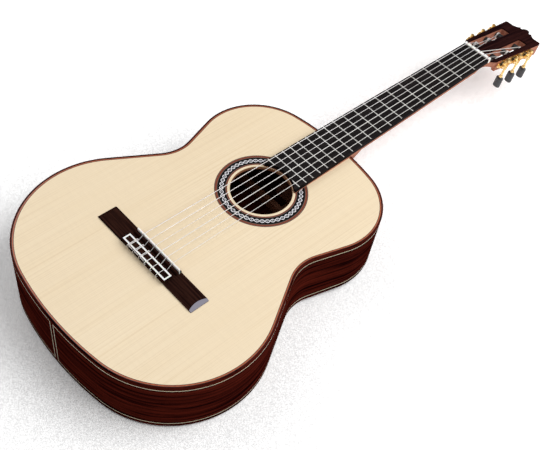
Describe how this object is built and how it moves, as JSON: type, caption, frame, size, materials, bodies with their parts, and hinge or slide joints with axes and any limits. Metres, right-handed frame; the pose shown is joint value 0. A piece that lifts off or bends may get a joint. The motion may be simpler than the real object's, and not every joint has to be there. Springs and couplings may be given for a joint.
{
  "type": "classical guitar",
  "caption": "Nylon-strung classical guitar with a spruce soundboard, rosewood sides, slotted head and worm-geared tuners, lying on its back.",
  "frame": {"origin": "centre of the guitar's box, at the lowest point of its domed back", "axes": "+Y along the strings from tail to head, +X to the treble side, +Z out of the soundboard"},
  "size_m": [0.3808, 0.9728, 0.1168],
  "materials": {
    "spruce": "gloss lacquer",
    "rosewood": "gloss lacquer",
    "rosewood_dark": "gloss lacquer",
    "mahogany": "satin lacquer",
    "ebony": "oiled",
    "cedar": "raw",
    "maple_line": "gloss lacquer",
    "rosette_mosaic": "gloss lacquer",
    "rosette_ring_wood": "gloss lacquer",
    "bone": "polished bone",
    "nickel": "polished",
    "gold": "polished",
    "button_black": "satin",
    "roller_black": "satin",
    "nylon": "clear",
    "wound_string": "wound"
  },
  "bodies": {
    "guitar": {"soundboard": "spruce", "soundhole_ring": "spruce", "rosette_band": "rosette_mosaic", "rosette_rings": "rosette_ring_wood", "neck": "mahogany", "heel_cap": "rosewood", "head_plate": "rosewood_dark", "side_treble": "rosewood", "side_bass": "rosewood", "end_graft": "rosewood", "top_binding": "rosewood", "back_binding": "rosewood", "purfling": "maple_line", "back": "rosewood", "back_inlay": "maple_line", "back_braces": "cedar", "back_strip": "cedar", "tail_block": "mahogany", "linings": "cedar", "top_braces": "spruce", "fretboard": "ebony", "fretboard_wedge": "mahogany", "frets": "nickel", "nut": "bone", "bridge": "rosewood", "tie_block_inlay": "bone", "saddle": "bone", "tuner_plate_treble": "gold", "tuner_plate_bass": "gold", "plate_screws": "gold", "string_1": "nylon", "string_2": "nylon", "string_3": "nylon", "string_4": "wound_string", "string_5": "wound_string", "string_6": "wound_string"},
    "knob_1": {"worm_shaft_1": "gold", "button_1": "button_black"},
    "winder_1": {"roller_1": "roller_black", "gear_1": "gold"},
    "knob_2": {"worm_shaft_2": "gold", "button_2": "button_black"},
    "winder_2": {"roller_2": "roller_black", "gear_2": "gold"},
    "knob_3": {"worm_shaft_3": "gold", "button_3": "button_black"},
    "winder_3": {"roller_3": "roller_black", "gear_3": "gold"},
    "knob_4": {"worm_shaft_4": "gold", "button_4": "button_black"},
    "winder_4": {"roller_4": "roller_black", "gear_4": "gold"},
    "knob_5": {"worm_shaft_5": "gold", "button_5": "button_black"},
    "winder_5": {"roller_5": "roller_black", "gear_5": "gold"},
    "knob_6": {"worm_shaft_6": "gold", "button_6": "button_black"},
    "winder_6": {"roller_6": "roller_black", "gear_6": "gold"}
  },
  "joints": [
    {"name": "knob_turn_1", "type": "hinge", "parent": "guitar", "child": "knob_1", "pos_m": [0.03899, 0.36864, 0.09425], "axis": [0, 0.165, 0.9863], "continuous": true},
    {"name": "roller_turn_1", "type": "hinge", "parent": "guitar", "child": "winder_1", "pos_m": [0.03329, 0.35995, 0.0957], "axis": [0.9994, -0.0339, 0.0057], "continuous": true},
    {"name": "knob_turn_2", "type": "hinge", "parent": "guitar", "child": "knob_2", "pos_m": [0.0402, 0.40316, 0.08847], "axis": [0, 0.165, 0.9863], "continuous": true},
    {"name": "roller_turn_2", "type": "hinge", "parent": "guitar", "child": "winder_2", "pos_m": [0.03449, 0.39447, 0.08993], "axis": [0.9994, -0.0339, 0.0057], "continuous": true},
    {"name": "knob_turn_3", "type": "hinge", "parent": "guitar", "child": "knob_3", "pos_m": [0.0414, 0.43768, 0.0827], "axis": [0, 0.165, 0.9863], "continuous": true},
    {"name": "roller_turn_3", "type": "hinge", "parent": "guitar", "child": "winder_3", "pos_m": [0.03569, 0.42899, 0.08415], "axis": [0.9994, -0.0339, 0.0057], "continuous": true},
    {"name": "knob_turn_4", "type": "hinge", "parent": "guitar", "child": "knob_4", "pos_m": [-0.0414, 0.43768, 0.0827], "axis": [0, 0.165, 0.9863], "continuous": true},
    {"name": "roller_turn_4", "type": "hinge", "parent": "guitar", "child": "winder_4", "pos_m": [-0.03569, 0.42899, 0.08415], "axis": [0.9994, 0.0339, -0.0057], "continuous": true},
    {"name": "knob_turn_5", "type": "hinge", "parent": "guitar", "child": "knob_5", "pos_m": [-0.0402, 0.40316, 0.08847], "axis": [0, 0.165, 0.9863], "continuous": true},
    {"name": "roller_turn_5", "type": "hinge", "parent": "guitar", "child": "winder_5", "pos_m": [-0.03449, 0.39447, 0.08993], "axis": [0.9994, 0.0339, -0.0057], "continuous": true},
    {"name": "knob_turn_6", "type": "hinge", "parent": "guitar", "child": "knob_6", "pos_m": [-0.03899, 0.36864, 0.09425], "axis": [0, 0.165, 0.9863], "continuous": true},
    {"name": "roller_turn_6", "type": "hinge", "parent": "guitar", "child": "winder_6", "pos_m": [-0.03329, 0.35995, 0.0957], "axis": [0.9994, 0.0339, -0.0057], "continuous": true}
  ],
  "couplings": [
    {"joint": "roller_turn_1", "follows": "knob_turn_1", "ratio": -0.071429},
    {"joint": "roller_turn_2", "follows": "knob_turn_2", "ratio": -0.071429},
    {"joint": "roller_turn_3", "follows": "knob_turn_3", "ratio": -0.071429},
    {"joint": "roller_turn_4", "follows": "knob_turn_4", "ratio": -0.071429},
    {"joint": "roller_turn_5", "follows": "knob_turn_5", "ratio": -0.071429},
    {"joint": "roller_turn_6", "follows": "knob_turn_6", "ratio": -0.071429}
  ]
}
